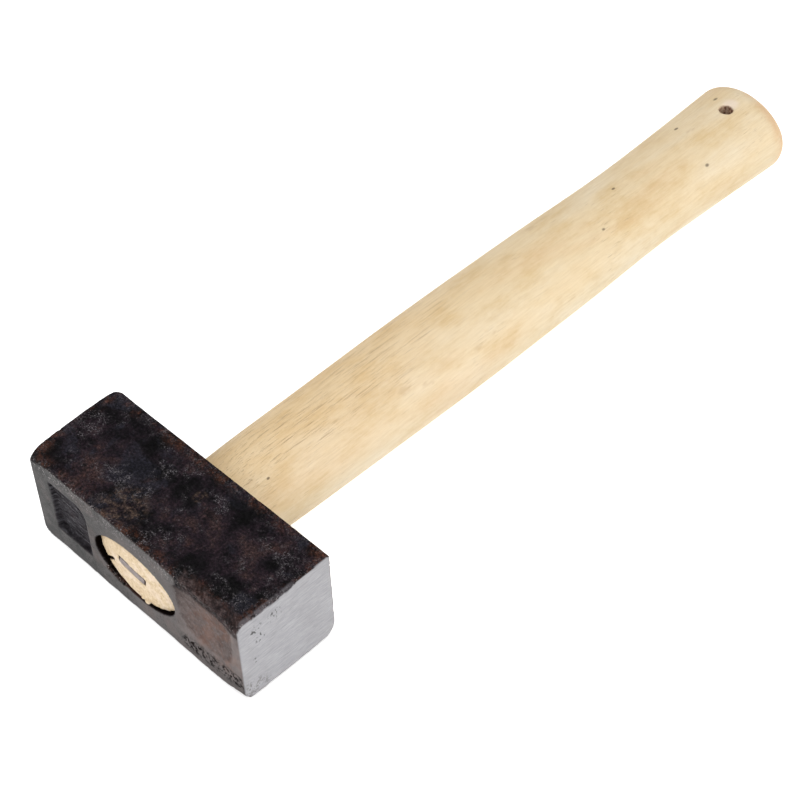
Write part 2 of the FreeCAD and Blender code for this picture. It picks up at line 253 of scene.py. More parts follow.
def slopes(distance, points, step=0.02):
    """Value and gradient of a distance function."""
    here = distance(points)
    rises = [distance(points + step * unit) - here for unit in np.eye(3)]
    return here, np.stack(rises, axis=1) / step


def settle(distance, points, limit):
    """Move points onto the surface in two steps, each of about limit at most."""
    for _ in range(2):
        here, gradient = slopes(distance, points)
        move = here / np.maximum((gradient ** 2).sum(axis=1), 0.2)
        points = points - np.clip(move, -limit, limit)[:, None] * gradient
    return points


# about the furthest, in millimetres, that a vertex moves towards its surface in one step
SETTLE_LIMIT = 0.25


def make_piece(name, distance, axes, low, high):
    """Mesh a distance function and link it as a smooth object, kept inside a box."""
    points, quads = surface_net(distance, axes)
    points = settle(distance, points, SETTLE_LIMIT)
    points = np.clip(points, low, high)
    mesh = bpy.data.meshes.new(name)
    mesh.from_pydata((points * MM).tolist(), [], quads.tolist())
    mesh.validate()
    mesh.polygons.foreach_set("use_smooth", np.ones(len(mesh.polygons), bool))
    piece = bpy.data.objects.new(name, mesh)
    bpy.context.scene.collection.objects.link(piece)
    return piece, points


def paint(piece, name, values):
    """Store a number from 0 to 1 for each vertex, for the material to read."""
    layer = piece.data.attributes.new(name, "FLOAT", "POINT")
    layer.data.foreach_set("value", np.clip(values, 0, 1).astype(np.float32))


# ---------------------------------------------------------------- the head

# the worn zone beside the striking face: where it begins, the height of its foot there and how
# steeply the foot climbs, its corner, its depth, and the height where black scale takes over
WORN_X = 23.5
WORN_FOOT = 5.0
WORN_FOOT_CLIMB = 0.18
WORN_CORNER = 5.0
WORN_DEPTH = 1.15
WORN_TOP = 33.0

# centre line and half width of the pitted band under the worn zone
PITTED_BAND = ((25.0, FRONT_Y, 7.0), (50.0, FRONT_Y, 9.0), 2.0)

# thickness ground off the striking face
FACE_ALLOWANCE = 0.5

# the rod-shaped pocket broken out beside the eye's lower rim, and what is packed into it
CHIP_POCKET = ((-14.0, FRONT_Y + 0.3, 10.9), (-7.8, FRONT_Y + 0.3, 8.9), 1.1)
CHIP_CRUMBS = ((-14.0, FRONT_Y + 0.7, 11.2), (-8.0, FRONT_Y + 0.7, 9.3), 0.6)

# turns the sunk panel's ridges a little from the head's length
PANEL_SLANT = math.radians(14.0)
SLANT = np.array(Matrix.Rotation(PANEL_SLANT, 3, "Y"))


def worn_zone(x, z):
    """How far inside the worn zone, in millimetres, seen along Y."""
    foot = WORN_FOOT + WORN_FOOT_CLIMB * (x - WORN_X)
    return -rounded(WORN_X - x, foot - z, WORN_CORNER)


def scale_relief(p):
    """Height of the forging scale: broad hammering, then lumps, then pits."""
    broad = 0.16 * rough(p, 15.0, 2, seed=1) - 0.14
    lumps = 0.09 * rough(p, 3.4, 3, seed=5)
    pits = -0.22 * blend_step(0.40, 0.75, noise(p, 1.8, seed=9))
    return broad + lumps + pits


def head_sides(p):
    """Distances from the six sides of the forging, before grinding.

    The eye's side stands proud of the plane it is ground to, more towards the peen, and
    sinks below it in the worn zone.
    """
    x, y, z = p.T
    crown_x = PEEN_X + PEEN_CROWN_RADIUS
    proud = 0.5 + 0.35 * blend_step(4.0, -6.0, x) + 0.5 * blend_step(-40.0, -50.0, x)
    sunk = WORN_DEPTH * blend_step(-6.0, 6.0, worn_zone(x, z)) * blend_step(6.0, 28.0, z)
    sunk *= blend_step(FACE_X - 1.0, FACE_X - 9.0, x)
    return {
        "front": FRONT_Y - proud + sunk - y,
        "back": y - BACK_Y,
        "top": z - TOP_Z,
        "bottom": -z,
        "peen": np.hypot(x - crown_x, y - PEEN_CROWN_Y) - PEEN_CROWN_RADIUS,
        "face": x - FACE_X - FACE_ALLOWANCE,
    }


def front_panel(p):
    """The deep sunk panel on the eye face, its floor lower towards the bottom."""
    x, y, z = p.T
    at_face = y < FRONT_Y + 6.0
    draft = 0.3 * (y - FRONT_Y)
    outer = rounded(-PANEL_OUTER - x, PANEL_LOW - z, 0.6)
    inner = rounded(x + PANEL_INNER, z - PANEL_HIGH, PANEL_CORNER)
    wander = only_where(at_face, lambda q: 0.15 * noise(q, 3.0, seed=21), p)
    outline = np.maximum(outer, inner) + draft + wander
    fall = (PANEL_HIGH - z) / (PANEL_HIGH - PANEL_LOW)
    depth = PANEL_DEPTH_HIGH + (PANEL_DEPTH_LOW - PANEL_DEPTH_HIGH) * fall
    ridges = only_where(at_face, lambda q: 0.20 * rough(q @ SLANT, [6.0, 6.0, 0.9], 2, seed=23), p)
    floor = y - (FRONT_Y + depth + ridges)
    return rounded(outline, floor, 0.3)


def rear_panels(p):
    """The two plain sunk panels on the handle's side of the head."""
    x, y, z = p.T
    outer = rounded(np.abs(x) - PANEL_OUTER, PANEL_LOW - z, 1.0)
    inner = rounded(PANEL_INNER - np.abs(x), z - PANEL_HIGH, PANEL_CORNER)
    ridges = only_where(y > BACK_Y - 4.0, lambda q: 0.12 * rough(q, 4.0, 2, seed=31), p)
    floor = BACK_Y - REAR_PANEL_DEPTH + ridges - y
    return rounded(np.maximum(outer, inner) + 0.3 * (BACK_Y - y), floor, 0.3)


def capsule(p, start, end, radius):
    """Distance from a rod with round ends."""
    start, end = np.array(start), np.array(end)
    axis = end - start
    share = np.clip((p - start) @ axis / (axis @ axis), 0, 1)
    return np.linalg.norm(p - start - share[:, None] * axis, axis=1) - radius


def rim_chip(p):
    """A ragged pocket beside the eye's lower rim."""
    pocket = capsule(p, *CHIP_POCKET)
    return pocket + only_where(pocket < 2.0, lambda q: 0.55 * noise(q, 1.1, seed=35), p)


def chip_crumbs(p):
    """Crumbs of metal and dirt packed into the pocket."""
    crumbs = capsule(p, *CHIP_CRUMBS)
    return crumbs + only_where(crumbs < 2.0, lambda q: 0.6 * noise(q, 0.8, seed=37), p)


def ragged(p):
    """Small changes in the wear along the striking face's upper edge."""
    return 0.5 * rough(p * [0, 1, 0], 3.0, 3, seed=39)


def head_forging(p):
    """The forged block: each pair of its sides meets in an edge of its own roundness."""
    x, y = p[:, 0], p[:, 1]
    side = head_sides(p)
    near_peen = blend_step(-40.0, -51.0, x)
    near_face = blend_step(FACE_X - 12.0, FACE_X, x)
    bevel = 3.4 * blend_step(-4.0, 46.0, x)
    face_wear = 1.0 + 2.4 * blend_step(7.0, 2.0, y) + only_where(near_face > 0, ragged, p)
    edges = [
        rounded(side["front"], side["bottom"], 2.6 + 3.6 * near_face),
        rounded(side["back"], side["bottom"], 3.4 + 3.6 * near_face),
        rounded(side["back"], side["top"], 0.6),
        bevelled(side["front"], side["top"], bevel),
        rounded(side["front"], side["top"], 2.2 * blend_step(12.0, -4.0, x) + 5.6 * near_peen),
        rounded(side["front"], side["peen"], 1.3),
        rounded(side["back"], side["peen"], 4.2),
        rounded(side["bottom"], side["peen"], 3.6),
        rounded(side["top"], side["peen"], 1.2),
        rounded(side["top"], side["face"], face_wear),
        rounded(side["back"], side["face"], 0.3),
        rounded(side["bottom"], side["face"], 2.4),
        rounded(side["front"], side["face"], 0.5),
    ]
    block = edges[0]
    for edge in edges[1:]:
        block = rounded(block, edge, 0.5)
    return block


def head_distance(p):
    """The whole head: forging with its scale, sunk panels, eye, and ground faces."""
    block = head_forging(p)
    block -= only_where(np.abs(block) < 2.0, scale_relief, p)
    block = rounded(block, FRONT_Y - p[:, 1], 0.15)
    block = rounded(block, p[:, 0] - FACE_X, 0.15)
    block = rounded(block, -front_panel(p), 0.3)
    block = rounded(block, -rear_panels(p), 0.4)
    block = bevelled(block, -eye_distance(p), 0.2)
    block = rounded(block, -rim_chip(p), 0.15)
    return np.minimum(block, np.maximum(chip_crumbs(p), FRONT_Y + 0.02 - p[:, 1]))


def beyond_ground(p):
    """How far below the plane that the eye's side is ground to."""
    return p[:, 1] - FRONT_Y


def paint_ground_faces(piece, p, worn_top):
    """Mark the striking face, the ground border round the eye, and the scale above the worn zone."""
    _, normal = slopes(head_distance, p)
    flat = blend_step(0.30, 0.12, beyond_ground(p)) * blend_step(0.7, 0.95, -normal[:, 1])
    paint(piece, "face_ground", blend_step(0.12, 0.03, FACE_X - p[:, 0]))
    paint(piece, "eye_ground", flat * (1 - 0.85 * worn_top))
    paint(piece, "above_worn", worn_top * blend_step(5.0, 2.5, beyond_ground(p)))


def paint_worn_zone(piece, p, zone):
    """Mark the brown zone beside the striking face and the pits along its foot."""
    at_front = blend_step(2.6, 1.8, beyond_ground(p))
    below_top = blend_step(WORN_TOP + 1.0, WORN_TOP - 1.0, p[:, 2])
    near_band = np.maximum(capsule(p, *PITTED_BAND), 0.0)
    paint(piece, "worn", blend_step(-5.0, 1.5, zone) * at_front * below_top)
    paint(piece, "pitted", np.exp(-(near_band / 2.0) ** 2) * at_front)


def paint_edges(piece, p):
    """Mark the forging's edges, those where a ground face has left bright metal, with its glints painted
    in, and the corner over the striking face, painted lighter as a highlight.
    """
    x, y, z = p.T
    order = np.sort(np.stack(list(head_sides(p).values())), axis=0)
    by_eye_face = np.exp(-(beyond_ground(p) / 0.9) ** 2)
    by_striking_face = np.exp(-((FACE_X - x) / 0.7) ** 2)
    high_up = blend_step(TOP_Z - 8.0, TOP_Z - 4.0, z)
    at_corner = blend_step(1.5, 0.9, FACE_X - x) * blend_step(TOP_Z - 3.0, TOP_Z - 2.2, z)
    paint(piece, "edge", np.exp(-(order[-2] / 4.0) ** 2))
    # bright metal at the ground edges, its glints painted in as colour
    paint(piece, "arris", np.maximum(by_eye_face, by_striking_face) * high_up)
    # painted highlight: the rounded corner of the upper cheek and the striking face, near the front
    paint(piece, "face_bevel", at_corner * blend_step(6.0, 2.0, y) * blend_step(-20.0, -16.0, y))


def paint_hollows(piece, p):
    """Mark the sunk panel beside the eye, the chipped pocket and the wall of the eye."""
    in_panel = blend_step(0.5, -0.2, front_panel(p)) * blend_step(-17.0, -19.0, p[:, 0])
    inside = blend_step(0.02, 0.2, beyond_ground(p))
    paint(piece, "sunk", in_panel)
    paint(piece, "chipped", blend_step(0.6, 0.2, rim_chip(p)))
    paint(piece, "eye_wall", blend_step(0.5, 0.1, eye_distance(p)) * inside)


def make_head():
    """Build the head and mark what its material tells apart."""
    pitch = 0.5
    axes = [grid_axis(low, high, pitch) for low, high in zip(HEAD_LOW, HEAD_HIGH)]
    piece, p = make_piece("head_forged", head_distance, axes, HEAD_LOW, HEAD_HIGH)
    zone = worn_zone(p[:, 0], p[:, 2]) + 1.4 * rough(p, [3.0, 3.0, 4.5], 3, seed=71)
    above = blend_step(WORN_TOP - 0.7, WORN_TOP + 0.7, p[:, 2])
    paint_ground_faces(piece, p, blend_step(-0.5, 1.5, zone) * above)
    paint_worn_zone(piece, p, zone)
    paint_edges(piece, p)
    paint_hollows(piece, p)
    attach(piece, "root")
    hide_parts("head")
    return piece


# ---------------------------------------------------------------- the handle

# centre lines and half widths of a split and a splinter in the tongue's end
NOTCH = ((-16.8, 0, 13.0), (-12.6, 0, 16.4), 0.5)
SPLINTER = ((1.7, FRONT_Y + 1.0, 9.2), (4.4, FRONT_Y + 1.0, 9.2), 0.85)


def through_stations(y, stations, values):
    """A smooth curve through values at stations (cubic between each pair)."""
    tangent = np.gradient(values, stations)
    k = np.clip(np.searchsorted(stations, y) - 1, 0, len(stations) - 2)
    span = stations[k + 1] - stations[k]
    t = np.clip((y - stations[k]) / span, 0, 1)
    start = (1 + 2 * t) * (1 - t) ** 2 * values[k] + t * (1 - t) ** 2 * span * tangent[k]
    end = t * t * (3 - 2 * t) * values[k + 1] - t * t * (1 - t) * span * tangent[k + 1]
    return start + end


def grip_distance(p):
    """The oval grip from the back of the head to the domed, slightly skewed butt."""
    x, y, z = p.T
    half_width = through_stations(y, HANDLE_STATIONS, HANDLE_HALF_WIDTHS)
    thinning = NECK_THINNING * np.clip(1 - (y - BACK_Y) / NECK_LENGTH, 0, 1) ** 2
    side = oval_distance(x, z - EYE_Z, half_width, half_width * OVAL_RATIO - thinning)
    apex_x, apex_y, apex_z = BUTT_APEX
    lean_x, lean_z = (x - apex_x) / BUTT_RADII[0], (z - apex_z) / BUTT_RADII[1]
    sag = (lean_x * (x - apex_x) + lean_z * (z - apex_z)) / 2
    end = (y - apex_y + sag) / np.sqrt(1 + lean_x ** 2 + lean_z ** 2)
    return np.maximum(rounded(side, end, BUTT_EDGE_RADIUS), BACK_Y + 0.05 - y)


def wedge_local(p):
    """Turn points into the wedge's own frame, where its blade lies flat."""
    turn = np.array(Matrix.Rotation(-WEDGE_TILT, 3, "Y"))
    return (p - [WEDGE_X, 0, EYE_Z]) @ turn.T


def blade_half(y):
    """Half the wedge's thickness at y."""
    share = (y - WEDGE_LOW[1]) / (WEDGE_HIGH[1] - WEDGE_LOW[1])
    return WEDGE_HEAD_HALF + (WEDGE_TIP_HALF - WEDGE_HEAD_HALF) * share


def notch(p):
    """Distance, seen along Y, from a split in the tongue's end that opens at the eye's rim."""
    return capsule(p * [1, 0, 1], *NOTCH)


def kerf_distance(p):
    """The slot the wedge was driven into, longer than the blade and gaping at its mouth."""
    local = wedge_local(p)
    y = p[:, 1]
    gap = 0.1 + 0.3 * blend_step(FRONT_Y + 3.0, FRONT_Y + 1.0, y)
    slot = rounded(np.abs(local[:, 0]) - KERF_HALF_WIDTH, np.abs(local[:, 2]) - blade_half(y) - gap, 1.0)
    return np.maximum(slot, y - WEDGE_HIGH[1] - 2.0)


def tongue_distance(p):
    """The tongue in the eye, crowned at its end, split by the kerf, chipped and splintered."""
    x, y = p[:, 0], p[:, 1]
    at_end = y < FRONT_Y + 8.0
    crown_y = FRONT_Y + TONGUE_RECESS + TONGUE_CROWN_RADIUS
    end = np.hypot(x - TONGUE_CROWN_X, y - crown_y) - TONGUE_CROWN_RADIUS
    end += only_where(at_end, lambda q: 0.08 * rough(q, 1.5, 2, seed=43), p)
    chips = only_where(at_end, lambda q: blend_step(0.1, 0.7, noise(q, [2.0, 9.0, 2.0], seed=41)), p)
    tongue = eye_distance(p) + 0.05 + 0.45 * chips * blend_step(FRONT_Y + 6.0, FRONT_Y, y)
    tongue = rounded(tongue, end, 0.25)
    tongue = np.maximum(tongue, y - BACK_Y - 1.0)
    crack = np.maximum(notch(p), y - FRONT_Y - 4.5)
    tongue = np.maximum(tongue, -np.minimum(kerf_distance(p), crack))
    splinter = capsule(p, *SPLINTER)
    splinter += only_where(splinter < 1.5, lambda q: 0.5 * noise(q, 1.1, seed=45), p)
    return np.minimum(tongue, splinter)


def handle_distance(p):
    """The whole handle: grip and tongue, sanded by hand, with its hanging hole."""
    grip = grip_distance(p)
    near = np.abs(grip) < 1.5
    grip -= only_where(near, lambda q: 0.12 * rough(q, [16.0, 60.0, 16.0], 2, seed=51) - 0.08, p)
    shape = np.minimum(grip, tongue_distance(p))
    hole = np.hypot(p[:, 0], p[:, 1] - HOLE_Y) - HOLE_RADIUS
    hole += only_where(np.abs(hole) < 2.0, lambda q: 0.45 * noise(q, [1.1, 1.1, 6.0], seed=57), p)
    return bevelled(shape, -hole, 0.5)


def handle_axes():
    """The handle's grid: coarse along the grip, fine at the tongue, neck, hole, butt and kerf."""
    fine_along = [
        (FRONT_Y - 2, FRONT_Y + 4, 0.3),
        (BACK_Y - 1, BACK_Y + 2, 0.4),
        (HOLE_Y - 4, HOLE_Y + 4, 0.4),
        (HOLE_Y, HANDLE_HIGH[1] + 3.0, 0.6),
    ]
    return [
        grid_axis(HANDLE_LOW[0], HANDLE_HIGH[0], 0.5),
        grid_axis(FRONT_Y, HANDLE_HIGH[1], 1.2, fine_along),
        grid_axis(HANDLE_LOW[2], HANDLE_HIGH[2], 0.5, [(EYE_Z - 3, EYE_Z + 3, 0.3)]),
    ]


def paint_tongue(piece, p):
    """Mark the tongue's end grain, a painted shadow along its upper rim, and painted shade in its
    splits.
    """
    y, z = p[:, 1], p[:, 2]
    upper_rim = blend_step(-2.8, -0.5, eye_distance(p)) * blend_step(EYE_Z - 2.0, EYE_Z + 3.0, z)
    openings = np.minimum(notch(p), kerf_distance(p))
    below_end = np.maximum(blend_step(FRONT_Y + 0.7, FRONT_Y + 1.2, y), notch(p) < 0.2)
    below_end *= blend_step(FRONT_Y + 8.0, FRONT_Y + 6.0, y)
    paint(piece, "end_grain", blend_step(FRONT_Y + 4.0, FRONT_Y + 2.8, y))
    # painted shadow: the tongue's end is darkened along the eye's upper rim
    paint(piece, "painted_rim_shadow", upper_rim * blend_step(FRONT_Y + 2.5, FRONT_Y + 1.5, y))
    # painted shade: the walls of the kerf and the split are darkened nearly to black
    paint(piece, "split", blend_step(0.35, 0.05, openings) * below_end)


def paint_grip(piece, p):
    """Mark the grip's lower side for painted shade, its butt, a painted highlight beside the rim of its
    hole, and the hole's wall.
    """
    x, y, z = p.T
    clear_of_head = blend_step(BACK_Y, BACK_Y + 5.0, y)
    from_hole = np.hypot(x, y - HOLE_Y)
    from_end = HANDLE_HIGH[1] - y + 0.35 * np.abs(x) - 0.55 * x
    inside = blend_step(15.3, 14.6, np.abs(z - EYE_Z))
    # painted shade: the grip's lower side, clear of the head, is marked to be darkened
    paint(piece, "painted_shade_lower_side", blend_step(EYE_Z + 9.0, EYE_Z - 3.0, z) * clear_of_head)
    paint(piece, "butt", blend_step(11.7, 4.7, from_end))
    # painted highlight: a pale patch beside the hole's rim, towards the butt
    paint(piece, "hole_rim_highlight", blend_step(4.0, 1.5, np.hypot(x + 0.6, y - HOLE_Y - 3.6)))
    paint(piece, "bore", blend_step(HOLE_RADIUS + 0.5, HOLE_RADIUS + 0.1, from_hole) * inside)


def make_handle():
    """Build the handle and mark what its material tells apart."""
    low = np.array([HANDLE_LOW[0], FRONT_Y, HANDLE_LOW[2]])
    piece, p = make_piece("handle_wood", handle_distance, handle_axes(), low, HANDLE_HIGH)
    paint_tongue(piece, p)
    paint_grip(piece, p)
    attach(piece, "root")
    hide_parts("handle")
    return piece


# ---------------------------------------------------------------- the wedge

def wedge_distance(p):
    """The steel wedge, its struck end burred."""
    local = wedge_local(p)
    burr = 0.12 * rough(p, 1.2, 2, seed=61) * blend_step(WEDGE_LOW[1] + 2.0, WEDGE_LOW[1], p[:, 1])
    mushroom = 0.2 * blend_step(WEDGE_LOW[1] + 1.2, WEDGE_LOW[1] + 0.3, p[:, 1])
    half_thickness = blade_half(p[:, 1]) + mushroom
    blade = rounded(np.abs(local[:, 0]) - WEDGE_HALF_WIDTH, np.abs(local[:, 2]) - half_thickness, 1.0)
    ends = np.maximum(WEDGE_LOW[1] - p[:, 1], p[:, 1] - WEDGE_HIGH[1])
    return rounded(blade - burr, ends, 0.2)


def make_wedge():
    """Build the wedge; hammering has spread its struck end a little past the blade."""
    pitches = (0.25, 0.3, 0.2)
    axes = [grid_axis(*limits) for limits in zip(WEDGE_LOW, WEDGE_HIGH, pitches)]
    spread = np.array([0.2, 0.0, 0.4])
    low, high = WEDGE_LOW - spread, WEDGE_HIGH + spread
    piece, _ = make_piece("wedge_steel", wedge_distance, axes, low, high)
    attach(piece, "root")
    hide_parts("wedge")
    return piece


# ---------------------------------------------------------------- materials

class Shader:
    """A material under construction: a Principled shader and the nodes that feed it."""

    def __init__(self, name):
        self.material = bpy.data.materials.new(name)
        self.material.use_nodes = True
        self.tree = self.material.node_tree
        self.tree.nodes.clear()
        self.surface = self.add("ShaderNodeBsdfPrincipled")
        output = self.add("ShaderNodeOutputMaterial")
        self.tree.links.new(self.surface.outputs[0], output.inputs["Surface"])
        self.place = self.add("ShaderNodeTexCoord").outputs["Object"]

    def add(self, kind, settings=None, **inputs):
        """Add a node; inputs may be numbers or other nodes' sockets."""
        node = self.tree.nodes.new(kind)
        for key, value in (settings or {}).items():
            setattr(node, key, value)
        for key, value in inputs.items():
            self.feed(node.inputs[key.replace("_", " ")], value)
        return node

    def feed(self, socket, value):
        """Link a socket, or set it to a constant."""
        if isinstance(value, bpy.types.NodeSocket):
            self.tree.links.new(value, socket)
        else:
            socket.default_value = value

    def attribute(self, name):
        """Read a number painted on the vertices."""
        return self.add("ShaderNodeAttribute", {"attribute_name": name}).outputs["Fac"]

    def stretched(self, x, y, z, turn=(0.0, 0.0, 0.0)):
        """Object coordinates multiplied along each axis, then turned."""
        node = self.add("ShaderNodeMapping", Vector=self.place)
        node.inputs["Scale"].default_value = (x, y, z)
        node.inputs["Rotation"].default_value = turn
        return node.outputs[0]

    def noise(self, scale, detail=4.0, roughness=0.55, where=None, distortion=0.0):
        """Noise from 0 to 1; scale is cells per metre."""
        node = self.add("ShaderNodeTexNoise", Vector=where or self.place, Scale=scale, Detail=detail,
                        Roughness=roughness, Distortion=distortion)
        return node.outputs["Fac"]

    def ramp(self, value, stops):
        """Colour by value, from (position, (r, g, b)) stops."""
        node = self.add("ShaderNodeValToRGB", Fac=value)
        elements = node.color_ramp.elements
        while len(elements) < len(stops):
            elements.new(1.0)
        for element, (position, colour) in zip(elements, stops):
            element.position = position
            element.color = (*colour, 1.0)
        return node.outputs["Color"]

    def window(self, value, low, high):
        """0 where value is below low and 1 above high, or the reverse if low is the larger."""
        node = self.add("ShaderNodeMapRange", {"interpolation_type": "SMOOTHSTEP"})
        self.feed(node.inputs["Value"], value)
        rising = low < high
        node.inputs["From Min"].default_value = min(low, high)
        node.inputs["From Max"].default_value = max(low, high)
        node.inputs["To Min"].default_value = 0.0 if rising else 1.0
        node.inputs["To Max"].default_value = 1.0 if rising else 0.0
        return node.outputs[0]

    def math(self, operation, a, b):
        """One arithmetic step."""
        node = self.add("ShaderNodeMath", {"operation": operation})
        self.feed(node.inputs[0], a)
        self.feed(node.inputs[1], b)
        return node.outputs[0]

    def times(self, a, b):
        """The product of two numbers."""
        return self.math("MULTIPLY", a, b)

    def mix(self, factor, a, b, blend="MIX"):
        """Mix two colours."""
        node = self.add("ShaderNodeMix", {"data_type": "RGBA", "blend_type": blend})
        self.feed(node.inputs["Factor"], factor)
        for socket, value in ((node.inputs[6], a), (node.inputs[7], b)):
            self.feed(socket, (*value, 1.0) if isinstance(value, tuple) else value)
        return node.outputs[2]

    def mix_value(self, factor, a, b):
        """Mix two numbers."""
        node = self.add("ShaderNodeMix", {"data_type": "FLOAT"})
        self.feed(node.inputs["Factor"], factor)
        self.feed(node.inputs[2], a)
        self.feed(node.inputs[3], b)
        return node.outputs[0]

    def bump(self, height, distance, strength=1.0, below=None):
        """Bump by height, distance in metres, over an earlier bump if given."""
        node = self.add("ShaderNodeBump", Height=height, Distance=distance, Strength=strength)
        if below is not None:
            self.feed(node.inputs["Normal"], below)
        return node.outputs[0]

    def spot(self, centre, radius, squash=(1.0, 1.0, 1.0)):
        """A spot, in millimetres, fading from 1 to 0 about its radius; squash below 1 lengthens it."""
        node = self.add("ShaderNodeVectorMath", {"operation": "DISTANCE"})
        self.feed(node.inputs[0], self.stretched(*squash))
        node.inputs[1].default_value = [c * s * MM for c, s in zip(centre, squash)]
        return self.window(node.outputs["Value"], radius * MM * 1.3, radius * MM * 0.6)

    def finish(self, **inputs):
        """Feed the Principled shader and hand back the material."""
        for key, value in inputs.items():
            self.feed(self.surface.inputs[key.replace("_", " ")], value)
        return self.material


def scale_patches(s):
    """Patches of black, purple and brown scale, and of blue scale over them."""
    patches = s.noise(62.0, 7.0, 0.66)
    colour = s.ramp(patches, [
        (0.40, (0.002, 0.0015, 0.002)),
        (0.47, (0.012, 0.008, 0.012)),
        (0.55, (0.040, 0.025, 0.034)),
        (0.64, (0.095, 0.055, 0.052)),
    ])
    blue = s.window(s.noise(44.0, 6.0, 0.62, distortion=0.6), 0.50, 0.58)
    blue_scale = s.mix(patches, (0.002, 0.002, 0.004), (0.070, 0.068, 0.095))
    return s.mix(s.times(blue, 0.8), colour, blue_scale)


# places on the upper cheek, (x, y), with a tan patch, and the patch's radius
TAN_PATCHES = [(-10.5, -12.8, 8.5), (4.5, 7.1, 2.4)]


def rusted(s, colour, near_edge):
    """Rust over the scale, most of it near the edges, and the tan patches on the upper cheek."""
    spread = s.window(s.noise(110.0, 8.0, 0.75), 0.47, 0.61)
    patchy = s.window(s.noise(60.0, 8.0, 0.74, distortion=0.4), 0.56, 0.68)
    rust = s.math("MAXIMUM", s.times(near_edge, spread), s.times(patchy, 0.35))
    colour = s.mix(s.times(rust, 0.75), colour, (0.165, 0.064, 0.038))
    net = s.window(s.noise(230.0, 7.0, 0.78), 0.46, 0.56)
    tan = s.math("MAXIMUM", *[s.spot((x, y, TOP_Z), radius) for x, y, radius in TAN_PATCHES])
    return s.mix(s.times(s.times(tan, net), 0.55), colour, (0.235, 0.160, 0.115))


def scale_colour(s):
    """Forging scale with rust at its edges, fine grain, black pits and pale specks painted as
    highlights.
    """
    near_edge = s.window(s.attribute("edge"), 0.03, 0.80)
    colour = rusted(s, scale_patches(s), near_edge)
    grain = s.ramp(s.noise(1200.0, 6.0, 0.82), [
        (0.38, (0.09, 0.08, 0.09)),
        (0.50, (0.33, 0.32, 0.33)),
        (0.62, (1.0, 1.0, 1.0)),
    ])
    colour = s.mix(1.0, colour, grain, "MULTIPLY")
    pits = s.window(s.noise(210.0, 6.0, 0.74), 0.56, 0.62)
    colour = s.mix(s.times(pits, 0.75), colour, (0.0015, 0.001, 0.0015))
    # painted highlights: pale specks, gathered in clusters and near the edges, stand in for glints off
    # the scale
    gathered = s.window(s.noise(80.0, 6.0, 0.70), 0.49, 0.60)
    gathered = s.math("MAXIMUM", gathered, s.times(near_edge, 0.5))
    gathered = s.times(gathered, s.window(s.noise(330.0, 4.0, 0.7), 0.42, 0.58))
    highlight_flecks = s.times(s.window(s.noise(2000.0, 4.0, 0.80), 0.51, 0.61), gathered)
    return s.mix(s.times(highlight_flecks, 0.7), colour, (0.200, 0.184, 0.196))


# places on the striking face, (y, z), with a cluster of small dents, and the cluster's radius
FACE_MARKS = [(-12.3, 31.5, 2.6), (-11.0, 26.8, 2.2), (-13.5, 17.2, 1.6), (-4.5, 32.0, 2.8)]


def ground_face_colour(s, lines):
    """Brushed steel with faint smudges and a few clusters of small dark dents."""
    bright = s.ramp(lines, [
        (0.30, (0.245, 0.242, 0.255)),
        (0.50, (0.320, 0.316, 0.330)),
        (0.70, (0.405, 0.400, 0.415)),
    ])
    smudge = s.window(s.noise(120.0, 5.0, 0.6), 0.46, 0.72)
    bright = s.mix(s.times(smudge, 0.3), bright, (0.24, 0.235, 0.24))
    dots = s.window(s.noise(1.0, 2.0, 0.5, where=s.stretched(700.0, 900.0, 500.0)), 0.57, 0.61)
    clusters = 0.0
    for y, z, radius in FACE_MARKS:
        clusters = s.math("MAXIMUM", clusters, s.spot((FACE_X, y, z), radius))
    bright = s.mix(s.times(s.times(dots, clusters), 0.85), bright, (0.03, 0.027, 0.027))
    corner = s.spot((FACE_X, -17.0, 3.5), 5.5, (1.0, 0.7, 1.0))
    dirt = s.times(corner, s.window(s.noise(900.0, 4.0, 0.75), 0.50, 0.62))
    return s.mix(s.times(dirt, 0.7), bright, (0.07, 0.055, 0.05))


def eye_face_colour(s, mottle, specks):
    """Ground forging round the eye: grey with a warm tint and fine dark specks."""
    grey = s.ramp(mottle, [
        (0.38, (0.003, 0.0025, 0.0025)),
        (0.48, (0.014, 0.012, 0.012)),
        (0.60, (0.044, 0.039, 0.038)),
    ])
    around_eye = s.spot((12.0, FRONT_Y, EYE_Z), 25.0, (0.8, 0.3, 1.2))
    grey = s.mix(s.times(around_eye, 0.55), grey, (0.100, 0.086, 0.084))
    warm = s.window(s.noise(70.0, 6.0, 0.68), 0.48, 0.66)
    grey = s.mix(s.times(warm, 0.45), grey, (0.095, 0.063, 0.056))
    lower_corner = s.spot((44.0, FRONT_Y, 3.0), 13.0, (0.6, 0.3, 1.0))
    grey = s.mix(s.times(lower_corner, 0.7), grey, (0.060, 0.043, 0.040))
    return s.mix(s.times(specks, 0.8), grey, (0.010, 0.007, 0.007))


def worn_panel_colour(s, mottle):
    """The worn zone by the striking face: brown, with rust in its middle."""
    brown = s.ramp(mottle, [
        (0.34, (0.070, 0.052, 0.049)),
        (0.52, (0.115, 0.090, 0.085)),
        (0.68, (0.150, 0.120, 0.113)),
    ])
    middle = s.spot((39.0, FRONT_Y, 21.0), 12.0, (1.0, 0.5, 0.8))
    rust = s.times(middle, s.window(s.noise(150.0, 6.0, 0.7), 0.42, 0.62))
    return s.mix(s.times(rust, 0.5), brown, (0.200, 0.105, 0.076))


def brown_scale_colour(s):
    """Brown and black scale with light specks, above the worn zone."""
    return s.ramp(s.noise(420.0, 7.0, 0.80), [
        (0.40, (0.004, 0.0025, 0.0025)),
        (0.52, (0.034, 0.021, 0.020)),
        (0.64, (0.125, 0.090, 0.086)),
    ])


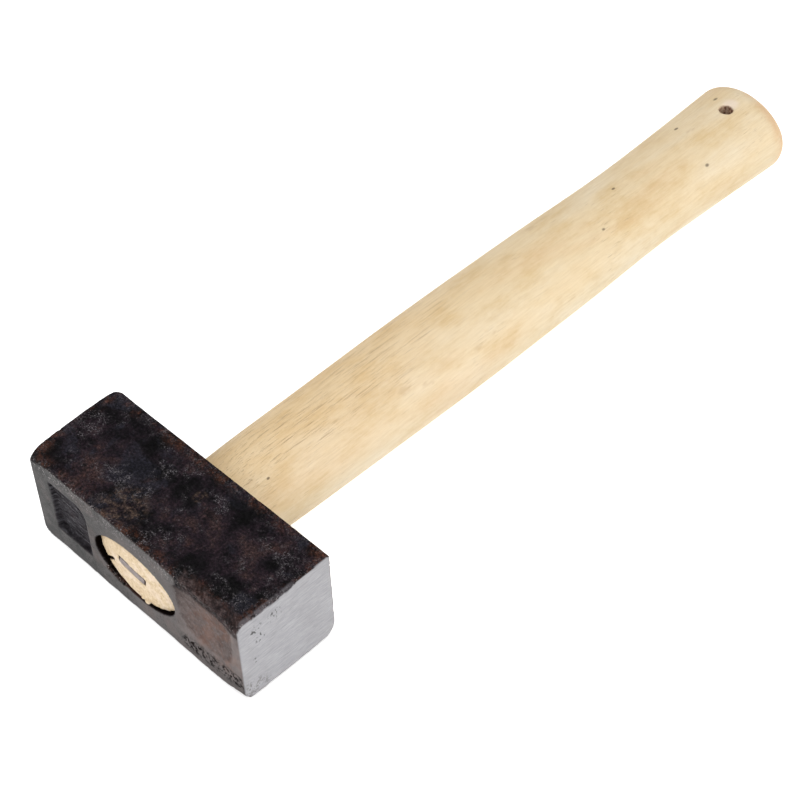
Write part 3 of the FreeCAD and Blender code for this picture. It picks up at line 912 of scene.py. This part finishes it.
def sunk_panel_colour(s):
    """The sunk panel's floor, streaked along its ridges."""
    along = s.stretched(170.0, 170.0, 800.0, (0, PANEL_SLANT, 0))
    return s.ramp(s.noise(1.0, 5.0, 0.7, where=along), [
        (0.38, (0.006, 0.005, 0.007)),
        (0.50, (0.030, 0.027, 0.031)),
        (0.62, (0.085, 0.082, 0.092)),
    ])


def crumbs_and_glints_colour(s):
    """Dirt in the chipped pocket, with bright specks that are partly crumbs of metal and partly painted
    highlights.
    """
    return s.ramp(s.noise(1100.0, 4.0, 0.8), [
        (0.44, (0.004, 0.003, 0.002)),
        (0.54, (0.060, 0.036, 0.030)),
        (0.60, (0.120, 0.075, 0.062)),
        # brightest stop: crumbs of metal, with painted highlights on them
        (0.64, (0.60, 0.54, 0.52)),
    ])


def eye_side_colour(s, colour, specks, pits):
    """Lay over the scale what shows on the eye's side of the head."""
    mottle = s.noise(190.0, 7.0, 0.70)
    colour = s.mix(s.times(s.attribute("above_worn"), 0.8), colour, brown_scale_colour(s))
    # painted highlight: lighter grey along that rounded corner
    bevel = s.times(s.attribute("face_bevel"), s.window(s.noise(400.0, 5.0, 0.7), 0.30, 0.60))
    colour = s.mix(s.times(bevel, 0.75), colour, (0.125, 0.115, 0.125))
    colour = s.mix(s.attribute("eye_ground"), colour, eye_face_colour(s, mottle, specks))
    colour = s.mix(s.attribute("worn"), colour, worn_panel_colour(s, mottle))
    colour = s.mix(s.times(s.attribute("pitted"), 0.45), colour, (0.040, 0.031, 0.031))
    colour = s.mix(s.times(pits, 0.95), colour, (0.005, 0.0035, 0.004))
    colour = s.mix(s.attribute("sunk"), colour, sunk_panel_colour(s))
    glint = s.spot((-39.5, FRONT_Y, 10.4), 0.7)
    colour = s.mix(glint, colour, (0.55, 0.52, 0.50))
    # bright metal worn bare at the edges, with painted highlights: sparse pale specks for its glints
    bare_and_glints = s.times(s.attribute("arris"), s.window(s.noise(1300.0, 4.0, 0.75), 0.57, 0.64))
    colour = s.mix(s.times(bare_and_glints, 0.8), colour, (0.33, 0.30, 0.30))
    # the chipped pocket: dirt and crumbs, with painted highlights
    colour = s.mix(s.attribute("chipped"), colour, crumbs_and_glints_colour(s))
    rusty = s.spot((-3.5, FRONT_Y + 1.0, 8.8), 6.0, (1.0, 0.3, 1.0))
    wall_colour = s.mix(rusty, (0.004, 0.0025, 0.002), (0.040, 0.018, 0.014))
    return s.mix(s.attribute("eye_wall"), colour, wall_colour)


def steel_normal(s, face, eye_ground, lines):
    """Grainy, lumpy scale, and fine brushing on the ground faces."""
    grain = s.bump(s.noise(1500.0, 4.0, 0.8), 0.00022, 0.9)
    lumps = s.bump(s.noise(400.0, 6.0, 0.74), 0.00060, 0.9, below=grain)
    brushed = s.bump(lines, 0.00003, 0.5)
    normal = s.add("ShaderNodeMix", {"data_type": "VECTOR"})
    s.feed(normal.inputs["Factor"], s.math("MAXIMUM", face, s.times(eye_ground, 0.75)))
    s.feed(normal.inputs[4], lumps)
    s.feed(normal.inputs[5], brushed)
    return normal.outputs[1]


def forged_steel():
    """Black forging scale, brown where worn, grey round the eye, bright on the striking face."""
    s = Shader("forged_steel")
    face, eye_ground = s.attribute("face_ground"), s.attribute("eye_ground")
    specks = s.window(s.noise(900.0, 4.0, 0.75), 0.56, 0.66)
    pits = s.times(s.window(s.noise(700.0, 5.0, 0.80), 0.47, 0.54), s.attribute("pitted"))
    across = s.stretched(900.0, 200.0, 2000.0, (math.radians(3.0), 0, 0))
    lines = s.noise(1.0, 5.0, 0.80, where=across)
    colour = eye_side_colour(s, scale_colour(s), specks, pits)
    colour = s.mix(face, colour, ground_face_colour(s, lines))

    roughness = s.mix_value(eye_ground, s.window(s.noise(900.0, 3.0, 0.7), 0.05, 0.70), 0.50)
    roughness = s.mix_value(face, roughness, 0.42)
    dull = s.math("MAXIMUM", pits, s.times(s.times(specks, eye_ground), 0.7))
    metallic = s.mix_value(face, s.mix_value(eye_ground, 0.0, 0.2), 0.65)
    metallic = s.mix_value(dull, metallic, 0.0)
    shine = s.mix_value(s.math("MAXIMUM", face, eye_ground), 0.10, 0.25)
    shine = s.mix_value(s.math("MAXIMUM", s.attribute("eye_wall"), dull), shine, 0.0)
    return s.finish(Base_Color=colour, Roughness=roughness, Metallic=metallic,
                    Specular_IOR_Level=shine, Normal=steel_normal(s, face, eye_ground, lines))


# dark pin knots and brown marks in the grip: place and radius in millimetres
WOOD_SPECKS = [
    (9.0, 31.5, 31.5, 0.4),
    (-7.5, 280.0, 33.0, 0.8),
    (-7.7, 256.8, 33.0, 0.6),
    (12.5, 250.7, 30.0, 0.7),
    (-2.0, 214.0, 33.5, 0.5),
    (9.0, 196.0, 31.5, 0.6),
    (19.6, 281.3, 20.0, 0.7),
]


def wood_figure(s, open_grain):
    """Pale growth figure, yellower where the grain is open and paler beside the head."""
    along = s.stretched(85.0, 16.0, 85.0)
    colour = s.ramp(s.noise(1.0, 3.0, 0.5, where=along, distortion=0.4), [
        (0.25, (0.755, 0.570, 0.350)),
        (0.50, (0.800, 0.655, 0.440)),
        (0.75, (0.815, 0.700, 0.520)),
    ])
    colour = s.mix(s.times(open_grain, 0.6), colour, (0.790, 0.585, 0.335))
    pale_side = s.spot((22.0, 60.0, 25.0), 24.0, (1.0, 0.25, 1.0))
    colour = s.mix(s.times(pale_side, 0.25), colour, (0.830, 0.715, 0.570))
    tone = s.ramp(s.noise(90.0, 6.0, 0.66, where=s.stretched(1.0, 0.5, 1.0)), [
        (0.34, (0.90, 0.83, 0.70)),
        (0.52, (0.98, 0.96, 0.92)),
        (0.66, (1.0, 1.0, 1.0)),
    ])
    return s.mix(1.0, colour, tone, "MULTIPLY")


def wood_pores(s, open_grain):
    """Short faint pores in patches, and long dark ones where the grain is open."""
    short = s.window(s.noise(1.0, 2.0, 0.5, where=s.stretched(2900.0, 170.0, 2900.0)), 0.60, 0.72)
    short = s.times(short, s.window(s.noise(45.0, 4.0, 0.6), 0.42, 0.66))
    long = s.window(s.noise(1.0, 3.0, 0.7, where=s.stretched(3000.0, 60.0, 3000.0)), 0.55, 0.67)
    return s.math("MAXIMUM", s.times(short, 0.65), s.times(long, open_grain))


def tongue_end_colour(s):
    """Crushed end grain, pinkish in patches, with a painted shadow along its upper rim."""
    colour = s.ramp(s.noise(1100.0, 4.0, 0.75), [
        (0.30, (0.42, 0.29, 0.15)),
        (0.50, (0.66, 0.51, 0.32)),
        (0.70, (0.78, 0.66, 0.50)),
    ])
    pinkish = s.window(s.noise(230.0, 5.0, 0.65), 0.47, 0.62)
    colour = s.mix(s.times(pinkish, 0.5), colour, (0.82, 0.68, 0.56))
    # painted shadow: darker brown along the upper rim of the end grain
    return s.mix(s.times(s.attribute("painted_rim_shadow"), 0.7), colour, (0.40, 0.27, 0.14))


def wood_openings(s, colour):
    """Lay over the wood painted shade in its splits, a painted highlight by its hole, the hole's bore,
    and its browner butt.
    """
    # painted shade: near-black inside the splits
    colour = s.mix(s.attribute("split"), colour, (0.02, 0.010, 0.006))
    # painted highlight beside the hole's rim
    colour = s.mix(s.times(s.attribute("hole_rim_highlight"), 0.5), colour, (0.86, 0.74, 0.66))
    bore = s.ramp(s.noise(700.0, 4.0, 0.7), [(0.38, (0.16, 0.075, 0.045)), (0.62, (0.62, 0.43, 0.30))])
    colour = s.mix(s.attribute("bore"), colour, bore)
    butt = s.times(s.attribute("butt"), s.window(s.noise(90.0, 4.0), 0.25, 0.55))
    return s.mix(s.times(butt, 0.75), colour, (0.70, 0.44, 0.23))


def pale_wood():
    """Pale sanded hardwood: growth figure, thin dark pores, specks, end grain at the tongue."""
    s = Shader("handle_wood")
    open_grain = s.spot((-13.0, 52.0, 30.0), 32.0, (1.25, 0.35, 1.0))
    colour = wood_figure(s, open_grain)
    fibres = s.noise(1.0, 6.0, 0.75, where=s.stretched(1300.0, 90.0, 1300.0))
    fibre_tone = s.ramp(fibres, [(0.3, (0.86, 0.82, 0.75)), (0.6, (1.0, 1.0, 1.0))])
    colour = s.mix(0.75, colour, fibre_tone, "MULTIPLY")
    pores = wood_pores(s, open_grain)
    colour = s.mix(s.times(pores, 0.7), colour, (0.33, 0.210, 0.115))
    # painted shade: the grip's lower side is tinted darker
    colour = s.mix(s.attribute("painted_shade_lower_side"), colour, (0.88, 0.91, 0.95), "MULTIPLY")
    stain_place = s.stretched(150.0, 60.0, 150.0)
    stain = s.window(s.noise(1.0, 3.0, 0.6, where=stain_place), 0.66, 0.76)
    colour = s.mix(s.times(stain, 0.35), colour, (0.50, 0.33, 0.17))
    for *centre, radius in WOOD_SPECKS:
        speck = s.spot(centre, radius, (1.0, 0.6, 0.6))
        colour = s.mix(s.times(speck, 0.75), colour, (0.06, 0.035, 0.02))
    colour = s.mix(s.attribute("end_grain"), colour, tongue_end_colour(s))
    colour = wood_openings(s, colour)

    groove_place = s.stretched(1500.0, 90.0, 1500.0)
    grooves = s.bump(s.noise(1.0, 3.0, 0.6, where=groove_place), 0.00010, 0.5)
    normal = s.bump(s.math("SUBTRACT", 1.0, pores), 0.00012, 0.5, below=grooves)
    roughness = s.mix_value(fibres, 0.50, 0.66)
    return s.finish(Base_Color=colour, Roughness=roughness, Normal=normal, Specular_IOR_Level=0.3)


def dull_steel():
    """The wedge's dull, slightly rusted steel."""
    s = Shader("wedge_steel")
    mottle = s.noise(700.0, 4.0, 0.6)
    colour = s.ramp(mottle, [(0.35, (0.17, 0.135, 0.13)), (0.65, (0.30, 0.255, 0.25))])
    normal = s.bump(s.noise(1800.0, 3.0, 0.6), 0.00008, 0.5)
    return s.finish(Base_Color=colour, Metallic=0.3, Roughness=0.55, Normal=normal)


# ---------------------------------------------------------------- floor, light and camera

def make_floor():
    """A plain white light table, just under the hammer."""
    bpy.ops.mesh.primitive_plane_add(size=6.0, location=(0, 0.1, -0.0004))
    floor = bpy.context.object
    floor.name = "floor"
    s = Shader("floor_paint")
    floor.data.materials.append(s.finish(Base_Color=(0.9, 0.9, 0.9, 1.0), Roughness=0.9,
                                         Emission_Color=(1.0, 1.0, 1.0, 1.0), Emission_Strength=0.58))


def area_light(name, place, aim, size, power):
    """A soft square light at place, aimed at a point."""
    data = bpy.data.lights.new(name, "AREA")
    data.size = size
    data.energy = power
    lamp = bpy.data.objects.new(name, data)
    lamp.location = place
    lamp.rotation_euler = (Vector(aim) - Vector(place)).to_track_quat("-Z", "Y").to_euler()
    bpy.context.scene.collection.objects.link(lamp)


def make_lights():
    """Even white surroundings and three soft lights: by the striking face, by the eye, overhead."""
    scene = bpy.context.scene
    scene.world = bpy.data.worlds.new("studio")
    scene.world.use_nodes = True
    background = scene.world.node_tree.nodes["Background"]
    background.inputs["Color"].default_value = (1.0, 1.0, 1.0, 1.0)
    background.inputs["Strength"].default_value = 0.5
    area_light("key", (0.95, 0.35, 0.65), (0, 0.1, 0), 0.9, 4.0)
    area_light("front", (-0.3, -0.95, 0.5), (0, 0, 0), 0.8, 3.2)
    area_light("overhead", (0.2, -0.1, 1.2), (0, 0.1, 0), 1.0, 6.5)
    scene.view_settings.view_transform = "Standard"


def make_camera():
    """The camera, turned a little about its own axis."""
    data = bpy.data.cameras.new("camera")
    data.lens = CAMERA_LENS
    data.sensor_width = 36.0
    camera = bpy.data.objects.new("camera", data)
    look = (CAMERA_AIM - CAMERA_PLACE).to_track_quat("-Z", "Y").to_matrix()
    turn = Matrix.Rotation(CAMERA_ROLL, 3, "Z")
    camera.matrix_world = Matrix.Translation(CAMERA_PLACE) @ (look @ turn).to_4x4()
    bpy.context.scene.collection.objects.link(camera)
    bpy.context.scene.camera = camera


make_camera()
make_lights()
make_floor()
make_head().data.materials.append(forged_steel())
make_handle().data.materials.append(pale_wood())
make_wedge().data.materials.append(dull_steel())
